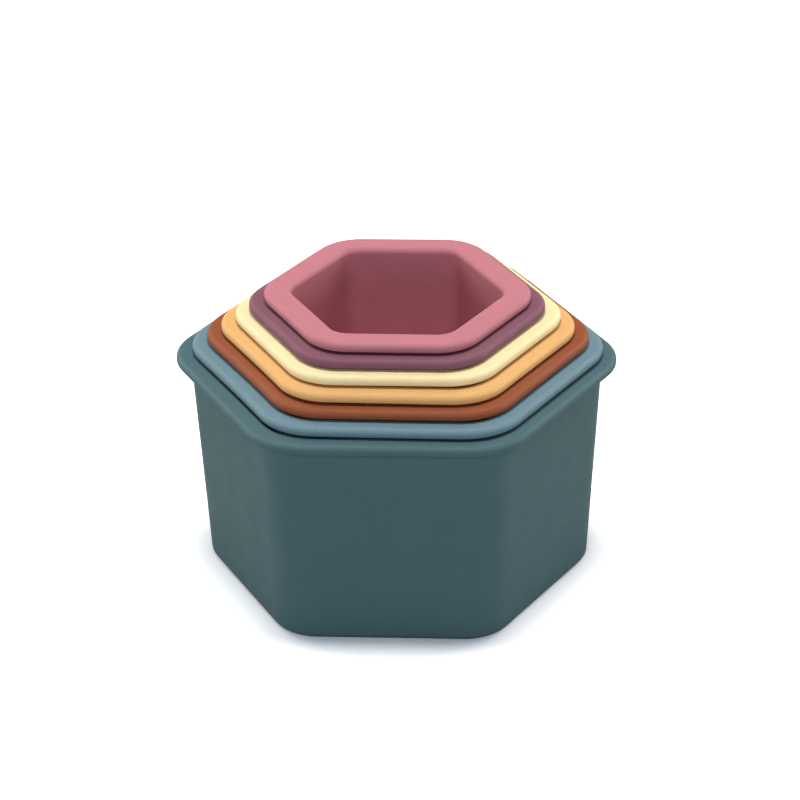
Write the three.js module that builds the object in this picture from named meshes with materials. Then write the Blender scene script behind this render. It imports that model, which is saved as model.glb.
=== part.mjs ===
// A nested set of seven hexagonal silicone stacking cups.
//
// Every cup is one moulding: a flat floor, six gently drafted walls and a flat rim that stands out all round.
// Each smaller cup drops into the next larger one until its rim rests on the rim below.
// Lengths are in millimetres. +Z is up, the flats of the hexagons face -Y and +Y, and their corners face
// -X and +X. The origin is at the middle of the underside of the largest cup.

import * as THREE from 'three';

// The cups, from the largest to the smallest, with the small sideways shift and the turn, in degrees,
// that each one has from the middle of the set.
const CUPS = [
  { name: 'teal_cup', colour: 0x50676c, shift: [0, 0], turn: 0 },
  { name: 'blue_cup', colour: 0x7a919e, shift: [0.2, 0.15], turn: 0 },
  { name: 'rust_cup', colour: 0x9d6346, shift: [0.3, 0.4], turn: 0.1 },
  { name: 'mustard_cup', colour: 0xeab879, shift: [0.4, 0], turn: -0.2 },
  { name: 'cream_cup', colour: 0xfae8b8, shift: [0.55, 0.35], turn: 0 },
  { name: 'plum_cup', colour: 0x8d6474, shift: [0.35, 0.1], turn: -0.1 },
  { name: 'pink_cup', colour: 0xd59299, shift: [0.5, -0.2], turn: -0.1 },
];

// Driving dimensions of the largest cup, and what each smaller one loses.
const RIM_APOTHEM = 44; // centre to the middle of a rim's straight side
const RIM_APOTHEM_STEP = 2.88;
const RIM_CORNER_RADIUS = 14.2;
const RIM_CORNER_RADIUS_STEP = 0.58;
const CUP_HEIGHT = 50.8;
const CUP_HEIGHT_STEP = 3.8;

// The section that all the cups share.
const RIM_PITCH = 2.56; // height of each rim above the one it rests on
const RIM_THICKNESS = 2.15;
const RIM_OVERHANG = 3.2; // from the wall's outer face, just under the rim, to the rim's tip
const WALL_THICKNESS = 2;
const SMALLEST_WALL_THICKNESS = 2.9; // nothing nests in the smallest cup
const FLOOR_THICKNESS = 2;
const DRAFT = THREE.MathUtils.degToRad(2.78);

// Roundings of that section.
const BASE_EDGE_RADIUS = 1.6;
const UNDER_RIM_RADIUS = 0.8;
const RIM_LOWER_EDGE_RADIUS = 0.75;
const RIM_UPPER_EDGE_RADIUS = 1.1;
const MOUTH_EDGE_RADIUS = 1.3;
const FLOOR_CORNER_RADIUS = 2.5;

// Facets.
const POINTS_PER_CORNER = 5;
const COLUMNS = 6 * POINTS_PER_CORNER;

const SIXTH_TURN = Math.PI / 3;
const QUARTER_TURN = Math.PI / 2;

// Points on an arc of a section, as (apothem, height), with both ends included.
function arc(centreApothem, centreHeight, radius, from, to, segments) {
  return Array.from({ length: segments + 1 }, (_, i) => {
    const angle = from + ((to - from) * i) / segments;
    return new THREE.Vector2(
      centreApothem + radius * Math.cos(angle),
      centreHeight + radius * Math.sin(angle),
    );
  });
}

// Section of one cup, from the middle of its underside, up its outer face, over its rim, down its inner face
// and back to the axis along the floor.
function cupSection(rimApothem, height, wall) {
  const slope = Math.tan(DRAFT);
  const lean = 1 / Math.cos(DRAFT);
  const rimUnderside = height - RIM_THICKNESS;
  const baseApothem = rimApothem - RIM_OVERHANG - rimUnderside * slope;
  const outerFace = (z) => baseApothem + z * slope;
  const innerFace = (z) => outerFace(z) - wall * lean;

  const underRim = rimUnderside - UNDER_RIM_RADIUS;
  const mouth = height - MOUTH_EDGE_RADIUS;
  const floorCorner = FLOOR_THICKNESS + FLOOR_CORNER_RADIUS;

  // The middles of the section's roundings, as [apothem, height].
  const baseEdge = [outerFace(BASE_EDGE_RADIUS) - BASE_EDGE_RADIUS * lean, BASE_EDGE_RADIUS];
  const rimFillet = [outerFace(underRim) + UNDER_RIM_RADIUS * lean, underRim];
  const rimLowerEdge = [rimApothem - RIM_LOWER_EDGE_RADIUS, rimUnderside + RIM_LOWER_EDGE_RADIUS];
  const rimUpperEdge = [rimApothem - RIM_UPPER_EDGE_RADIUS, height - RIM_UPPER_EDGE_RADIUS];
  const mouthEdge = [innerFace(mouth) + MOUTH_EDGE_RADIUS * lean, mouth];
  const floorFillet = [innerFace(floorCorner) - FLOOR_CORNER_RADIUS * lean, floorCorner];

  return [
    new THREE.Vector2(0, 0),
    ...arc(...baseEdge, BASE_EDGE_RADIUS, -QUARTER_TURN, -DRAFT, 3),
    ...arc(...rimFillet, UNDER_RIM_RADIUS, Math.PI - DRAFT, QUARTER_TURN, 2),
    ...arc(...rimLowerEdge, RIM_LOWER_EDGE_RADIUS, -QUARTER_TURN, 0, 3),
    ...arc(...rimUpperEdge, RIM_UPPER_EDGE_RADIUS, 0, QUARTER_TURN, 3),
    ...arc(...mouthEdge, MOUTH_EDGE_RADIUS, QUARTER_TURN, Math.PI - DRAFT, 3),
    ...arc(...floorFillet, FLOOR_CORNER_RADIUS, -DRAFT, -QUARTER_TURN, 3),
    new THREE.Vector2(0, FLOOR_THICKNESS),
  ];
}

// One point of a hexagon with rounded corners. Each level's outlines are offsets of one sharp-cornered
// hexagon, its core, so the corner radius is whatever the apothem has beyond the core's.
function outlinePoint(column, apothem, coreApothem) {
  if (apothem === 0) return [0, 0];
  const cornerAngle = Math.floor(column / POINTS_PER_CORNER) * SIXTH_TURN;
  const alongCorner = (column % POINTS_PER_CORNER) / (POINTS_PER_CORNER - 1) - 0.5;
  const angle = cornerAngle + alongCorner * SIXTH_TURN;
  const cornerReach = coreApothem / Math.cos(SIXTH_TURN / 2);
  const radius = apothem - coreApothem;
  return [
    cornerReach * Math.cos(cornerAngle) + radius * Math.cos(angle),
    cornerReach * Math.sin(cornerAngle) + radius * Math.sin(angle),
  ];
}

// A turned body whose rings are rounded hexagons instead of circles. Their core narrows downwards as the
// walls do, so the walls keep one corner radius all the way down.
function hexagonalLathe(section, coreApothemAt) {
  const geometry = new THREE.LatheGeometry(section, COLUMNS);
  const position = geometry.attributes.position;
  for (let column = 0; column <= COLUMNS; column++) {
    section.forEach(({ x: apothem, y: height }, row) => {
      const [x, y] = outlinePoint(column % COLUMNS, apothem, coreApothemAt(height));
      position.setXYZ(column * section.length + row, x, y, height);
    });
  }
  geometry.computeVertexNormals();
  return geometry;
}

function makeCup({ name, colour, shift, turn }, index) {
  const rimApothem = RIM_APOTHEM - index * RIM_APOTHEM_STEP;
  const cornerRadius = RIM_CORNER_RADIUS - index * RIM_CORNER_RADIUS_STEP;
  const height = CUP_HEIGHT - index * CUP_HEIGHT_STEP;
  const wall = index === CUPS.length - 1 ? SMALLEST_WALL_THICKNESS : WALL_THICKNESS;
  const belowRim = (z) => Math.max(height - RIM_THICKNESS - z, 0);
  const coreApothemAt = (z) => rimApothem - cornerRadius - belowRim(z) * Math.tan(DRAFT);

  const geometry = hexagonalLathe(cupSection(rimApothem, height, wall), coreApothemAt);
  const material = new THREE.MeshStandardMaterial({ color: colour, roughness: 0.6, metalness: 0 });
  const cup = new THREE.Mesh(geometry, material);
  cup.name = name;
  cup.rotation.z = THREE.MathUtils.degToRad(turn);
  cup.position.set(...shift, index * (CUP_HEIGHT_STEP + RIM_PITCH));
  return cup;
}

const cups = new THREE.Group();
CUPS.forEach((cup, index) => cups.add(makeCup(cup, index)));

export default cups;
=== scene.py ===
# A nested set of seven hexagonal silicone stacking cups on a white floor, under soft studio light.
#
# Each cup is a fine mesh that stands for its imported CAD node. Its place, its turn and the size of its rim are
# measured on that node, and its section repeats the part's own dimensions. Lengths are in metres, and angles
# in radians.

import math

import bpy
import numpy as np
from mathutils import Matrix, Vector


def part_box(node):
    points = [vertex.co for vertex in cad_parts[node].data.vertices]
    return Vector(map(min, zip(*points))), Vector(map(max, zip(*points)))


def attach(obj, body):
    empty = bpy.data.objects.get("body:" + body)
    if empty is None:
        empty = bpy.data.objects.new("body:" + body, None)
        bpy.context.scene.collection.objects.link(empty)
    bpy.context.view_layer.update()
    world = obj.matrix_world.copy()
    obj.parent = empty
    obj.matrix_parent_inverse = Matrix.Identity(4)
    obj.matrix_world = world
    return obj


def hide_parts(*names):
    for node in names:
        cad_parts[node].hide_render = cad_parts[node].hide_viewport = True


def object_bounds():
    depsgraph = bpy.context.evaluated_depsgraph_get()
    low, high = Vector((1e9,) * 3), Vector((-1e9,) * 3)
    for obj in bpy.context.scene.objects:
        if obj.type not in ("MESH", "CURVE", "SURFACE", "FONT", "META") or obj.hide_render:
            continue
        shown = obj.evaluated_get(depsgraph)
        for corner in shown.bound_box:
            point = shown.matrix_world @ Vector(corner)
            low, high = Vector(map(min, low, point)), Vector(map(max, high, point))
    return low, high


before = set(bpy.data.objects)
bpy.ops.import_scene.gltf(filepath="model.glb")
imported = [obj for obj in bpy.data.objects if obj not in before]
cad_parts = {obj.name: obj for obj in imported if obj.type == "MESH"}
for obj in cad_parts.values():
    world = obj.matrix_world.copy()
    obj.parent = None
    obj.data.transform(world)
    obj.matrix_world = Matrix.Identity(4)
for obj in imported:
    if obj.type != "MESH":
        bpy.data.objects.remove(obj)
cad_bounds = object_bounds()

MM = 0.001
SIDES = 6
SIXTH_TURN = math.pi / 3
QUARTER_TURN = math.pi / 2

# The cups, from the largest to the smallest: the colour that the silicone reflects, as linear values, how
# thick the wall is, and how far the rim leans in on the left. Nothing nests in the smallest cup, and its wall
# is thicker.
NESTING_WALL = 2.0 * MM
SMALLEST_WALL = 2.9 * MM
CUPS = [
    {"node": "teal_cup", "colour": (0.053, 0.112, 0.122), "wall": NESTING_WALL, "lean": 0},
    {"node": "blue_cup", "colour": (0.123, 0.206, 0.243), "wall": NESTING_WALL, "lean": 1.0 * MM},
    {"node": "rust_cup", "colour": (0.236, 0.060, 0.018), "wall": NESTING_WALL, "lean": 1.1 * MM},
    {"node": "mustard_cup", "colour": (0.637, 0.354, 0.127), "wall": NESTING_WALL, "lean": 0.75 * MM},
    {"node": "cream_cup", "colour": (0.760, 0.635, 0.350), "wall": NESTING_WALL, "lean": 0.1 * MM},
    {"node": "plum_cup", "colour": (0.185, 0.068, 0.097), "wall": NESTING_WALL, "lean": 0.3 * MM},
    {"node": "pink_cup", "colour": (0.422, 0.149, 0.173), "wall": SMALLEST_WALL, "lean": 0.25 * MM},
]

# The section that all the cups share, as in the CAD model.
RIM_THICKNESS = 2.15 * MM
RIM_OVERHANG = 3.2 * MM  # from the wall's outer face, just under the rim, to the rim's tip
FLOOR_THICKNESS = 2.0 * MM
DRAFT = math.radians(2.78)
BASE_EDGE_RADIUS = 1.6 * MM
UNDER_RIM_RADIUS = 0.8 * MM
RIM_LOWER_EDGE_RADIUS = 0.75 * MM
RIM_UPPER_EDGE_RADIUS = 1.1 * MM
MOUTH_EDGE_RADIUS = 1.3 * MM
FLOOR_CORNER_RADIUS = 2.5 * MM

# How fine the meshes are: points round the outline, and rows along the section.
POINTS_PER_CORNER = 13
POINTS_PER_SIDE = 9  # between one corner's arc and the next
ARC_ROWS = 7
WALL_ROWS = 12
FLOOR_ROWS = 6
RIM_UNDERSIDE_ROWS = 2
RIM_TIP_ROWS = 1
RIM_TOP_ROWS = 4

# Soft mouldings are never quite true: the rim wanders in height round the cup, and leans in on one side.
RIM_WANDER = 0.05 * MM  # to either side of its mean height
RIM_WAVES = [(2, 0.6), (3, 0.4)]  # how many waves go round the cup, and each one's share of the wander
LEAN_DIRECTION = math.radians(224)
LEAN_NARROWNESS = 8  # the higher it is, the less of the rim leans in
FOOT_STIFFNESS = 3  # the higher it is, the further up the walls stay true


# --- Shapes -------------------------------------------------------------------------------------------------

def measure(node):
    """Centre, turn, rim apothem, rim corner radius, bottom and height of a cup, from its CAD node."""
    low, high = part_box(node)
    centre = (low + high) / 2
    points = np.array([v.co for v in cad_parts[node].data.vertices], float)

    # Raised to the sixth power, the six corners all point the same way, at six times the cup's turn.
    flat = (points[:, 0] - centre.x) + 1j * (points[:, 1] - centre.y)
    turn = np.angle(np.sum((flat / np.abs(flat).max()) ** SIDES)) / SIDES
    straight = flat * np.exp(-1j * turn)
    apothem = straight.imag.max()
    corner_reach = straight.real.max()

    # A sharp corner would reach further than the rounded one, by an amount that gives its radius.
    sharp = 1 / math.cos(SIXTH_TURN / 2)
    return {
        "centre": (centre.x, centre.y),
        "turn": turn,
        "apothem": apothem,
        "corner_radius": (apothem * sharp - corner_reach) / (sharp - 1),
        "bottom": low.z,
        "height": high.z - low.z,
    }


def arc(centre, radius, start, end):
    """Points of a section's arc as (apothem, height), with both ends."""
    angles = np.linspace(start, end, ARC_ROWS + 1)
    return [(centre[0] + radius * math.cos(a), centre[1] + radius * math.sin(a)) for a in angles]


def between(first, last, rows):
    """Rows along a straight stretch of a section, closer together near its ends, without the two ends."""
    shares = [0.5 - 0.5 * math.cos(math.pi * i / (rows + 1)) for i in range(1, rows + 1)]
    return [(first[0] + (last[0] - first[0]) * s, first[1] + (last[1] - first[1]) * s) for s in shares]


def cup_section(apothem, height, wall):
    """Section of a cup, from the middle of its underside over its rim to the middle of its floor."""
    slope = math.tan(DRAFT)  # how far a drafted face comes out for each unit of height
    slant = 1 / math.cos(DRAFT)  # how far apart two such faces are on the level, for each unit square to them
    rim_underside = height - RIM_THICKNESS
    base_apothem = apothem - RIM_OVERHANG - rim_underside * slope

    def outer_face(z):
        return base_apothem + z * slope

    def inner_face(z):
        return outer_face(z) - wall * slant

    under_rim = rim_underside - UNDER_RIM_RADIUS
    mouth = height - MOUTH_EDGE_RADIUS
    corner = FLOOR_THICKNESS + FLOOR_CORNER_RADIUS

    # The middles of the section's roundings.
    base_edge = (outer_face(BASE_EDGE_RADIUS) - BASE_EDGE_RADIUS * slant, BASE_EDGE_RADIUS)
    rim_fillet = (outer_face(under_rim) + UNDER_RIM_RADIUS * slant, under_rim)
    rim_lower_edge = (apothem - RIM_LOWER_EDGE_RADIUS, rim_underside + RIM_LOWER_EDGE_RADIUS)
    rim_upper_edge = (apothem - RIM_UPPER_EDGE_RADIUS, height - RIM_UPPER_EDGE_RADIUS)
    mouth_edge = (inner_face(mouth) + MOUTH_EDGE_RADIUS * slant, mouth)
    floor_fillet = (inner_face(corner) - FLOOR_CORNER_RADIUS * slant, corner)

    arcs = [
        arc(base_edge, BASE_EDGE_RADIUS, -QUARTER_TURN, -DRAFT),
        arc(rim_fillet, UNDER_RIM_RADIUS, math.pi - DRAFT, QUARTER_TURN),
        arc(rim_lower_edge, RIM_LOWER_EDGE_RADIUS, -QUARTER_TURN, 0),
        arc(rim_upper_edge, RIM_UPPER_EDGE_RADIUS, 0, QUARTER_TURN),
        arc(mouth_edge, MOUTH_EDGE_RADIUS, QUARTER_TURN, math.pi - DRAFT),
        arc(floor_fillet, FLOOR_CORNER_RADIUS, -DRAFT, -QUARTER_TURN),
    ]
    rows_between = [WALL_ROWS, RIM_UNDERSIDE_ROWS, RIM_TIP_ROWS, RIM_TOP_ROWS, WALL_ROWS]

    underside = (0, 0)
    floor = (0, FLOOR_THICKNESS)
    section = [underside] + between(underside, arcs[0][0], FLOOR_ROWS)
    for this, following, rows in zip(arcs, arcs[1:], rows_between):
        section += this + between(this[-1], following[0], rows)
    section += arcs[-1] + between(arcs[-1][-1], floor, FLOOR_ROWS) + [floor]
    return section


def outline():
    """Points of a sharp hexagon of apothem 1, its core, and the outward direction at each, all the way round.

    A rounded hexagon is the core, scaled to its own apothem, plus the corner radius outward.
    """
    reach = 1 / math.cos(SIXTH_TURN / 2)
    core, outward = [], []
    for side in range(SIDES):
        corner_angle = side * SIXTH_TURN
        next_angle = corner_angle + SIXTH_TURN
        side_angle = corner_angle + SIXTH_TURN / 2
        here = reach * np.array([math.cos(corner_angle), math.sin(corner_angle)])
        there = reach * np.array([math.cos(next_angle), math.sin(next_angle)])
        for angle in np.linspace(-SIXTH_TURN / 2, SIXTH_TURN / 2, POINTS_PER_CORNER) + corner_angle:
            core.append(here)
            outward.append((math.cos(angle), math.sin(angle)))
        for share in np.linspace(0, 1, POINTS_PER_SIDE + 2)[1:-1]:
            core.append(here + (there - here) * share)
            outward.append((math.cos(side_angle), math.sin(side_angle)))
    return np.array(core), np.array(outward)


def cup_points(section, size):
    """A cup's points about its own axis: one at each end of the section, and a ring for each row between."""
    core, outward = outline()
    points = [(0, 0, section[0][1])]
    for apothem, height in section[1:-1]:
        # The core narrows downwards as the walls do, so the walls keep one corner radius all the way down.
        below_rim = max(size["height"] - RIM_THICKNESS - height, 0)
        core_apothem = min(size["apothem"] - size["corner_radius"] - below_rim * math.tan(DRAFT), apothem)
        ring = core * core_apothem + outward * (apothem - core_apothem)
        points += [(x, y, height) for x, y in ring]
    points.append((0, 0, section[-1][1]))
    return np.array(points, float)


def cup_faces(point_count):
    """Fans at the two ends of the section, and quads from each ring to the next."""
    columns = SIDES * (POINTS_PER_CORNER + POINTS_PER_SIDE)
    first_ring = 1
    last_ring = point_count - 1 - columns
    last_point = point_count - 1
    faces = []
    for this in range(columns):
        following = (this + 1) % columns
        faces.append((0, first_ring + following, first_ring + this))
        for low in range(first_ring, last_ring, columns):
            high = low + columns
            faces.append((low + this, low + following, high + following, high + this))
        faces.append((last_ring + this, last_ring + following, last_point))
    return faces


def soften(points, height, lean, name):
    """Moves points as a soft moulding gives: the rim dips here and there and leans in on one side."""
    phase = sum(map(ord, name))  # each cup wanders in its own way
    around = np.arctan2(points[:, 1], points[:, 0])
    give = np.clip(points[:, 2] / height, 0, 1) ** FOOT_STIFFNESS

    wander = sum(share * np.sin(waves * around + (waves - 1) * phase) for waves, share in RIM_WAVES)
    points[:, 2] += RIM_WANDER * give * (wander - 1)

    nearness = (1 + np.cos(around - LEAN_DIRECTION)) / 2
    inward = lean * give * nearness ** LEAN_NARROWNESS
    points[:, 0] -= inward * math.cos(LEAN_DIRECTION)
    points[:, 1] -= inward * math.sin(LEAN_DIRECTION)


def cup_mesh(name, size, wall, lean):
    """The mesh of one cup, in the place and at the turn of its CAD node."""
    section = cup_section(size["apothem"], size["height"], wall)
    points = cup_points(section, size)
    soften(points, size["height"], lean, name)

    mesh = bpy.data.meshes.new(name)
    mesh.from_pydata([tuple(p) for p in points], [], cup_faces(len(points)))
    place = Matrix.Translation((*size["centre"], size["bottom"]))
    mesh.transform(place @ Matrix.Rotation(size["turn"], 4, "Z"))
    mesh.shade_smooth()
    mesh.update()
    return mesh


# --- Materials ----------------------------------------------------------------------------------------------

SILICONE_IOR = 1.41
SILICONE_SPECULAR_LEVEL = 0.40
SILICONE_ROUGHNESS = (0.60, 0.70)  # smoothest and roughest

# The noises that the silicone's detail is made from, as scale, in cells for each metre, and detail.
MOTTLE_NOISE = (350, 4)
DUST_NOISE = (2200, 1)
ROUGHNESS_NOISE = (160, 4)
GRAIN_NOISE = (2600, 2)

MOTTLE_DARKEST = 0.96  # of the cup's colour
MOTTLE_LIGHTEST = 1.04
DUST_TINT = 0.6  # how much of the cup's colour the dust takes on
DUST_GREY = 0.25
DUST_COVER = 0.12  # how much of the cup's colour the middle of a speck hides
DUST_THRESHOLD = (0.72, 0.85)  # where in its noise a speck starts, and where it is full
ROUGHNESS_THRESHOLD = (0.3, 0.7)  # where in its noise the silicone is smoothest and roughest
GRAIN_STRENGTH = 0.12
GRAIN_DEPTH = 0.05 * MM


def silicone(name, colour):
    """Matte, faintly mottled silicone with a fine satin grain and a few specks of dust."""
    material = bpy.data.materials.new(name)
    material.use_nodes = True
    nodes, links = material.node_tree.nodes, material.node_tree.links
    shader = nodes["Principled BSDF"]
    shader.inputs["IOR"].default_value = SILICONE_IOR
    shader.inputs["Specular IOR Level"].default_value = SILICONE_SPECULAR_LEVEL

    place = nodes.new("ShaderNodeTexCoord").outputs["Object"]

    def noise(scale, detail):
        node = nodes.new("ShaderNodeTexNoise")
        node.inputs["Scale"].default_value = scale
        node.inputs["Detail"].default_value = detail
        links.new(place, node.inputs["Vector"])
        return node.outputs["Fac"]

    def ramp(value, low, high, to_low, to_high):
        node = nodes.new("ShaderNodeMapRange")
        for socket, number in zip(("From Min", "From Max", "To Min", "To Max"), (low, high, to_low, to_high)):
            node.inputs[socket].default_value = number
        links.new(value, node.inputs["Value"])
        return node.outputs["Result"]

    def mix(share, first, second):
        """Mixes two colours, each of them a tuple or another node's output."""
        node = nodes.new("ShaderNodeMix")
        node.data_type = "RGBA"
        links.new(share, node.inputs["Factor"])
        for socket, value in zip(("A", "B"), (first, second)):
            colour_socket = next(s for s in node.inputs if s.name == socket and s.type == "RGBA")
            if isinstance(value, tuple):
                colour_socket.default_value = (*value, 1)
            else:
                links.new(value, colour_socket)
        return next(s for s in node.outputs if s.type == "RGBA")

    darkest = tuple(MOTTLE_DARKEST * c for c in colour)
    lightest = tuple(MOTTLE_LIGHTEST * c for c in colour)
    mottled = mix(noise(*MOTTLE_NOISE), darkest, lightest)
    dust = tuple(DUST_TINT * c + DUST_GREY for c in colour)
    specks = ramp(noise(*DUST_NOISE), *DUST_THRESHOLD, 0, DUST_COVER)
    links.new(mix(specks, mottled, dust), shader.inputs["Base Color"])

    roughness = ramp(noise(*ROUGHNESS_NOISE), *ROUGHNESS_THRESHOLD, *SILICONE_ROUGHNESS)
    links.new(roughness, shader.inputs["Roughness"])

    bump = nodes.new("ShaderNodeBump")
    bump.inputs["Strength"].default_value = GRAIN_STRENGTH
    bump.inputs["Distance"].default_value = GRAIN_DEPTH
    links.new(noise(*GRAIN_NOISE), bump.inputs["Height"])
    links.new(bump.outputs["Normal"], shader.inputs["Normal"])
    return material


# The floor's colours. The camera sees it brighter than full white, as in a brightened catalogue picture. The
# light that it throws back on the cups is that of a grey table.
FLOOR_SEEN = (1.35, 1.36, 1.38, 1)
FLOOR_BOUNCED = (0.50, 0.50, 0.51, 1)
BACKDROP_FADE = (0.25, 0.8)  # how far from the middle the floor starts and ends turning into the backdrop


def white_floor():
    """A floor that looks pure white, and that turns into a plain white backdrop away from the set."""
    material = bpy.data.materials.new("white_floor")
    material.use_nodes = True
    nodes, links = material.node_tree.nodes, material.node_tree.links
    nodes.remove(nodes["Principled BSDF"])

    def diffuse(colour):
        node = nodes.new("ShaderNodeBsdfDiffuse")
        node.inputs["Color"].default_value = colour
        return node.outputs["BSDF"]

    def mix(share, first, second):
        node = nodes.new("ShaderNodeMixShader")
        for socket, value in zip(node.inputs, (share, first, second)):
            links.new(value, socket)
        return node.outputs["Shader"]

    distance = nodes.new("ShaderNodeVectorMath")
    distance.operation = "LENGTH"
    links.new(nodes.new("ShaderNodeTexCoord").outputs["Object"], distance.inputs[0])
    far = nodes.new("ShaderNodeMapRange")
    for socket, number in zip(("From Min", "From Max"), BACKDROP_FADE):
        far.inputs[socket].default_value = number
    links.new(distance.outputs["Value"], far.inputs["Value"])

    backdrop = nodes.new("ShaderNodeEmission")
    seen = mix(far.outputs["Result"], diffuse(FLOOR_SEEN), backdrop.outputs["Emission"])
    camera_looks = nodes.new("ShaderNodeLightPath").outputs["Is Camera Ray"]
    floor = mix(camera_looks, diffuse(FLOOR_BOUNCED), seen)
    links.new(floor, nodes["Material Output"].inputs["Surface"])
    return material


# --- The set ------------------------------------------------------------------------------------------------

def make_cup(cup):
    node = cup["node"]
    name = node + "_moulding"
    piece = bpy.data.objects.new(name, cup_mesh(name, measure(node), cup["wall"], cup["lean"]))
    bpy.context.scene.collection.objects.link(piece)
    piece.data.materials.append(silicone(node.replace("_cup", "_satin"), cup["colour"]))
    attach(piece, node)
    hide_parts(node)


# --- The studio ---------------------------------------------------------------------------------------------

FLOOR_SIZE = 60.0  # so wide that its edges are at the horizon

# The tints of the lights, and the very weak light that comes from everywhere.
NEUTRAL = (1.0, 1.0, 1.0)
WARM = (1.04, 1.0, 0.95)
COOL = (0.90, 1.0, 1.12)
AMBIENT_COLOUR = (0.9, 0.95, 1.0, 1)
AMBIENT_STRENGTH = 0.01

# The softboxes, which all face one point of the set: name, place, width and height, watts, tint.
LIT_POINT = Vector((0, 0, 0.03))
SOFTBOXES = [
    ("top_softbox", (0, -0.04, 0.9), (0.3, 0.18), 6.45, NEUTRAL),
    ("back_top_softbox", (0, 0.35, 0.85), (0.5, 0.5), 0.74, NEUTRAL),
    ("back_left_softbox", (-0.7, 0.6, 0.5), (0.6, 0.6), 5.3, WARM),
    ("back_right_softbox", (0.7, 0.6, 0.5), (0.6, 0.6), 5.5, WARM),
    ("low_left_softbox", (-1.0, 0.1, 0.15), (0.7, 0.3), 3.4, WARM),
    ("low_right_softbox", (1.0, 0.1, 0.15), (0.7, 0.3), 2.8, WARM),
    ("front_softbox", (0, -0.9, 0.66), (0.5, 0.12), 2.8, COOL),
    ("low_front_softbox", (0, -1.0, 0.15), (0.7, 0.3), 2.0, COOL),
]

# The camera, at the photograph's viewing angle.
CAMERA_AZIMUTH = math.radians(3.42)
CAMERA_ELEVATION = math.radians(28.127)
CAMERA_ROLL = math.radians(-0.90)
CAMERA_DISTANCE = 0.65584
CAMERA_LENS = 132.64  # in millimetres, as Blender has it
CAMERA_SENSOR = 36
CAMERA_NEAREST = 0.01
CAMERA_FURTHEST = 100
AIM_RIGHT = 0.76 * MM  # where the camera aims, from the middle of the set
AIM_UP = 5.56 * MM


def make_floor():
    half = FLOOR_SIZE / 2
    corners = [(-half, -half, 0), (half, -half, 0), (half, half, 0), (-half, half, 0)]
    mesh = bpy.data.meshes.new("floor")
    mesh.from_pydata(corners, [], [(0, 1, 2, 3)])
    floor = bpy.data.objects.new("floor", mesh)
    bpy.context.scene.collection.objects.link(floor)
    floor.data.materials.append(white_floor())


def make_softbox(name, place, size, power, colour):
    """A soft area light at place that faces the set and can't be seen itself."""
    light = bpy.data.lights.new(name, "AREA")
    light.shape = "RECTANGLE"
    light.size, light.size_y = size
    light.energy = power
    light.color = colour
    lamp = bpy.data.objects.new(name, light)
    bpy.context.scene.collection.objects.link(lamp)
    lamp.location = place
    lamp.rotation_euler = (LIT_POINT - Vector(place)).to_track_quat("-Z", "Y").to_euler()
    lamp.visible_camera = False


def make_lights():
    world = bpy.data.worlds.new("studio")
    bpy.context.scene.world = world
    world.use_nodes = True
    ambient = world.node_tree.nodes["Background"]
    ambient.inputs["Color"].default_value = AMBIENT_COLOUR
    ambient.inputs["Strength"].default_value = AMBIENT_STRENGTH
    for softbox in SOFTBOXES:
        make_softbox(*softbox)


def make_camera():
    # The camera's own directions, before and after its roll.
    level = math.cos(CAMERA_ELEVATION)
    right = Vector((math.cos(CAMERA_AZIMUTH), math.sin(CAMERA_AZIMUTH), 0))
    back = Vector((
        math.sin(CAMERA_AZIMUTH) * level,
        -math.cos(CAMERA_AZIMUTH) * level,
        math.sin(CAMERA_ELEVATION),
    ))
    up = back.cross(right)
    rolled_right = math.cos(CAMERA_ROLL) * right + math.sin(CAMERA_ROLL) * up
    rolled_up = math.cos(CAMERA_ROLL) * up - math.sin(CAMERA_ROLL) * right

    low, high = cad_bounds
    aim = (low + high) / 2 + AIM_RIGHT * right + Vector((0, 0, AIM_UP))

    data = bpy.data.cameras.new("camera")
    data.lens = CAMERA_LENS
    data.sensor_width = CAMERA_SENSOR
    data.clip_start = CAMERA_NEAREST
    data.clip_end = CAMERA_FURTHEST
    camera = bpy.data.objects.new("camera", data)
    bpy.context.scene.collection.objects.link(camera)
    turn = Matrix((rolled_right, rolled_up, back)).transposed().to_4x4()
    camera.matrix_world = Matrix.Translation(aim + back * CAMERA_DISTANCE) @ turn
    bpy.context.scene.camera = camera


bpy.context.scene.view_settings.view_transform = "Standard"
for cup in CUPS:
    make_cup(cup)
make_floor()
make_lights()
make_camera()
